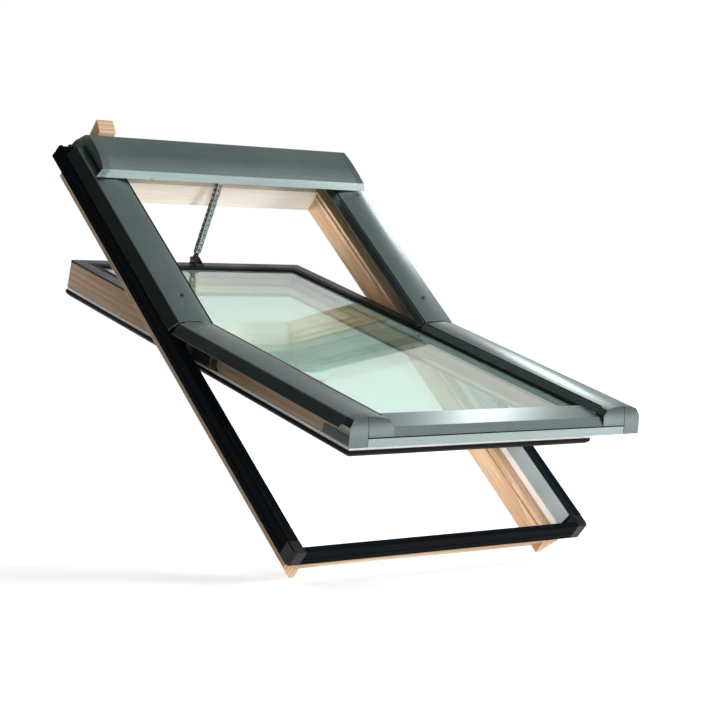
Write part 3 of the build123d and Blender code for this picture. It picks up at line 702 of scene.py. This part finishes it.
def cornerJointPiece():
    mesh = bmesh.new()
    for name in cornerJoint["caps"]:
        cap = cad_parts[name].data
        end = max((vertex.co.x for vertex in cap.vertices), key=abs)
        for face in cap.polygons:
            corners = [cap.vertices[index].co for index in face.vertices]
            if all(abs(corner.x - end) < cornerJoint["onEnd"] for corner in corners):
                mesh.faces.new([mesh.verts.new(corner) for corner in corners])
    bmesh.ops.remove_doubles(mesh, verts=mesh.verts, dist=cornerJoint["onEnd"])
    grown = bmesh.ops.extrude_face_region(mesh, geom=list(mesh.faces), use_keep_orig=True)
    for part in grown["geom"]:
        if isinstance(part, bmesh.types.BMVert):
            part.co.x += math.copysign(cornerJoint["width"], part.co.x)
    bmesh.ops.recalc_face_normals(mesh, faces=mesh.faces)
    return makePiece("cornerJoints", mesh, cornerSeal)


cornerJoints = cornerJointPiece()
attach(cornerJoints, "sash")
print("corner joints:", len(cornerJoints.data.polygons), "faces")

# cheeks that close the side of the caps beside the bottom cover; corners are up the slope and out of it
cornerCheek = {
    "inner": 0.2761,
    "outer": 0.2778,
    "corners": ((-0.0068, 0.0288), (-0.0049, 0.0402), (0.0010, 0.0405), (-0.0060, 0.0288)),
}


def cornerCheekPiece():
    mesh = bmesh.new()
    for way in (-1, 1):
        rows = []
        for side in (cornerCheek["inner"], cornerCheek["outer"]):
            rows.append([mesh.verts.new(sashPoint(way * side, *corner)) for corner in cornerCheek["corners"]])
        closeRows(mesh, rows)
    bmesh.ops.recalc_face_normals(mesh, faces=mesh.faces)
    return makePiece("cornerCheeks", mesh, cornerCoat)


cornerCheeks = cornerCheekPiece()
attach(cornerCheeks, "sash")
print("corner cheeks:", len(cornerCheeks.data.polygons), "faces")

# dark cord in the groove above the front strip, a half round that stands a little proud
cordShape = {
    "reach": 0.336,
    "along": -0.0075,
    "out": 0.0278,
    "tall": 0.0026,
    "proud": 0.0007,
    "deep": 0.0016,
    "steps": 6,
}


def frontCordPiece():
    half = cordShape["tall"] / 2
    section = [(cordShape["deep"], half)]
    for step in range(cordShape["steps"] + 1):
        turn = math.pi * step / cordShape["steps"]
        section.append((-cordShape["proud"] * math.sin(turn), half * math.cos(turn)))
    section.append((cordShape["deep"], -half))
    path = [(cordShape["along"] + inward, cordShape["out"] + rise) for inward, rise in section]
    mesh = bmesh.new()
    rows = []
    for side in (-cordShape["reach"], cordShape["reach"]):
        rows.append([mesh.verts.new(sashPoint(side, *point)) for point in path])
    closeRows(mesh, rows)
    bmesh.ops.recalc_face_normals(mesh, faces=mesh.faces)
    return makePiece("frontCord", mesh, cornerSeal)


frontCord = frontCordPiece()
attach(frontCord, "sash")
print("front cord:", len(frontCord.data.polygons), "faces")

# floor and backdrop
stageLook = {
    "floorReach": 14.0,
    "floorDrop": 0.002,
    "floorTones": ((0.84, 0.84, 0.84), (0.87, 0.87, 0.87)),
    "floorGrain": 40.0,
    "floorGloss": 0.9,
    "floorShine": 0.1,
    "glowMiddle": (0.0, 0.3),
    "glowBand": (0.7, 2.2),
    "nearGlow": 0.50,
    "farGlow": 1.0,
    "highBand": (0.30, 0.66),
    "lowLight": 1.0,
    "highLight": 0.38,
    "leftBand": (-0.42, 0.05),
    "leftLight": 0.03,
    "leftFill": 0.16,
    "horizonBand": (0.16, 0.44),
    "horizonLight": 0.34,
    "diffuseShare": 0.62,
}
white = (1.0, 1.0, 1.0, 1.0)


# rays that look at the backdrop straight or through glass, and rays that mirror it
def seenRays(tree):
    path = addNode(tree, "ShaderNodeLightPath")
    seen = mathNode(tree, "MAXIMUM", path.outputs["Is Camera Ray"], path.outputs["Is Transmission Ray"])
    return seen, path.outputs["Is Glossy Ray"]


def floorFinish(level):
    finish, tree, shader = openFinish("paleFloor")
    plain = memberSpace(tree, 0.0)
    tone = mixColour(tree, noise(tree, plain, stageLook["floorGrain"]), *stageLook["floorTones"])
    link(tree, tone, shader.inputs["Base Color"])
    shader.inputs["Roughness"].default_value = stageLook["floorGloss"]
    shader.inputs["Specular IOR Level"].default_value = stageLook["floorShine"]
    # the floor runs out into plain white, the shadow stays near the window
    away = addNode(tree, "ShaderNodeVectorMath", operation="DISTANCE")
    link(tree, plain, away.inputs[0])
    away.inputs[1].default_value = (*stageLook["glowMiddle"], level)
    reach = (*stageLook["glowBand"], stageLook["nearGlow"], stageLook["farGlow"])
    glow = spread(tree, away.outputs["Value"], *reach)
    looked = mathNode(tree, "MAXIMUM", *seenRays(tree))
    link(tree, mathNode(tree, "MULTIPLY", looked, glow), shader.inputs["Emission Strength"])
    shader.inputs["Emission Color"].default_value = white
    return finish


def floorPiece():
    level = solidBox[0][2] - stageLook["floorDrop"]
    places = [way * stageLook["floorReach"] for way in (-1, 0, 1)]
    mesh = bmesh.new()
    rows = [[mesh.verts.new((x, y, level)) for x in places] for y in places]
    for i in range(2):
        for j in range(2):
            mesh.faces.new((rows[i][j], rows[i][j + 1], rows[i + 1][j + 1], rows[i + 1][j]))
    return makePiece("paleFloor", mesh, floorFinish(level))


floorPiece()


# white to look at; it lights most from the right, least from the left and overhead
def studioWorld():
    world = bpy.data.worlds.new("studio")
    scene.world = world
    world.use_nodes = True
    tree = world.node_tree
    tree.nodes.clear()
    place = addNode(tree, "ShaderNodeTexCoord")
    parts = addNode(tree, "ShaderNodeSeparateXYZ")
    link(tree, place.outputs["Generated"], parts.inputs[0])
    across, upward = parts.outputs["X"], parts.outputs["Z"]
    high = spread(tree, upward, *stageLook["highBand"], stageLook["lowLight"], stageLook["highLight"])
    left = spread(tree, across, *stageLook["leftBand"], stageLook["leftLight"], 1.0)
    low = spread(tree, upward, *stageLook["horizonBand"], stageLook["horizonLight"], 1.0)
    lit = mathNode(tree, "MULTIPLY", mathNode(tree, "MULTIPLY", high, left), low)
    soft = spread(tree, across, *stageLook["leftBand"], stageLook["leftFill"], 1.0)
    fill = mathNode(tree, "MULTIPLY", mathNode(tree, "MULTIPLY", high, soft), stageLook["diffuseShare"])
    seen, mirrored = seenRays(tree)
    inMirrors = mathNode(tree, "MULTIPLY", lit, mirrored)
    elsewhere = mathNode(tree, "MULTIPLY", fill, mathNode(tree, "SUBTRACT", 1.0, mirrored))
    given = mathNode(tree, "ADD", inMirrors, elsewhere)
    back = addNode(tree, "ShaderNodeBackground", {"Color": white})
    link(tree, mathNode(tree, "MAXIMUM", given, seen), back.inputs["Strength"])
    out = addNode(tree, "ShaderNodeOutputWorld")
    link(tree, back.outputs[0], out.inputs["Surface"])


studioWorld()

# lamps; only the side panel shows in mirroring surfaces
lamps = {
    "keyLamp": {
        "place": (2.5, -3.1, 1.25), "target": (0.0, 0.35, 0.45),
        "size": 1.8, "power": 185.0, "mirrored": False},
    "roomLamp": {
        "place": (-0.30, 1.60, 0.56), "target": (0.30, 0.65, 0.58),
        "size": 0.6, "power": 14.0, "mirrored": False},
    "faceLamp": {
        "place": (-1.30, -2.7, 0.42), "target": (0.0, 0.5, 0.6),
        "size": 1.2, "power": 58.0, "mirrored": False},
    "gapLamp": {
        "place": (-0.25, 0.11, 0.19), "target": (0.34, 0.16, 0.14),
        "size": 0.25, "power": 1.8, "mirrored": False},
    "sidePanel": {
        "place": (1.70, 1.10, 1.57), "target": (0.15, -0.10, 0.28),
        "size": 0.26, "power": 2.3, "mirrored": True},
}


def aimed(line):
    return Vector(line).to_track_quat("-Z", "Y").to_euler()


def softLamp(name, place, target, size, power, mirrored):
    data = bpy.data.lights.new(name, "AREA")
    data.shape = "DISK"
    data.size = size
    data.energy = power
    lamp = bpy.data.objects.new(name, data)
    lamp.location = place
    lamp.rotation_euler = aimed(Vector(target) - Vector(place))
    lamp.visible_camera = False
    lamp.visible_transmission = False
    lamp.visible_glossy = mirrored
    scene.collection.objects.link(lamp)


for lampName, lampLook in lamps.items():
    softLamp(lampName, **lampLook)
print("floor, world and lamps set")

# camera, at the place and angle that the covers' lines give
cameraLook = {
    "place": (-2.59759, -2.95261, 0.46938),
    "line": (0.6337, 0.7733, -0.02067),
    "lens": 97.977,
    "sensor": 36.0,
    "farthest": 60.0,
}
lens = bpy.data.cameras.new("viewCamera")
lens.lens = cameraLook["lens"]
lens.sensor_width = cameraLook["sensor"]
lens.clip_end = cameraLook["farthest"]
viewCamera = bpy.data.objects.new("viewCamera", lens)
viewCamera.location = cameraLook["place"]
viewCamera.rotation_euler = aimed(cameraLook["line"])
scene.collection.objects.link(viewCamera)
scene.camera = viewCamera
print("camera set")
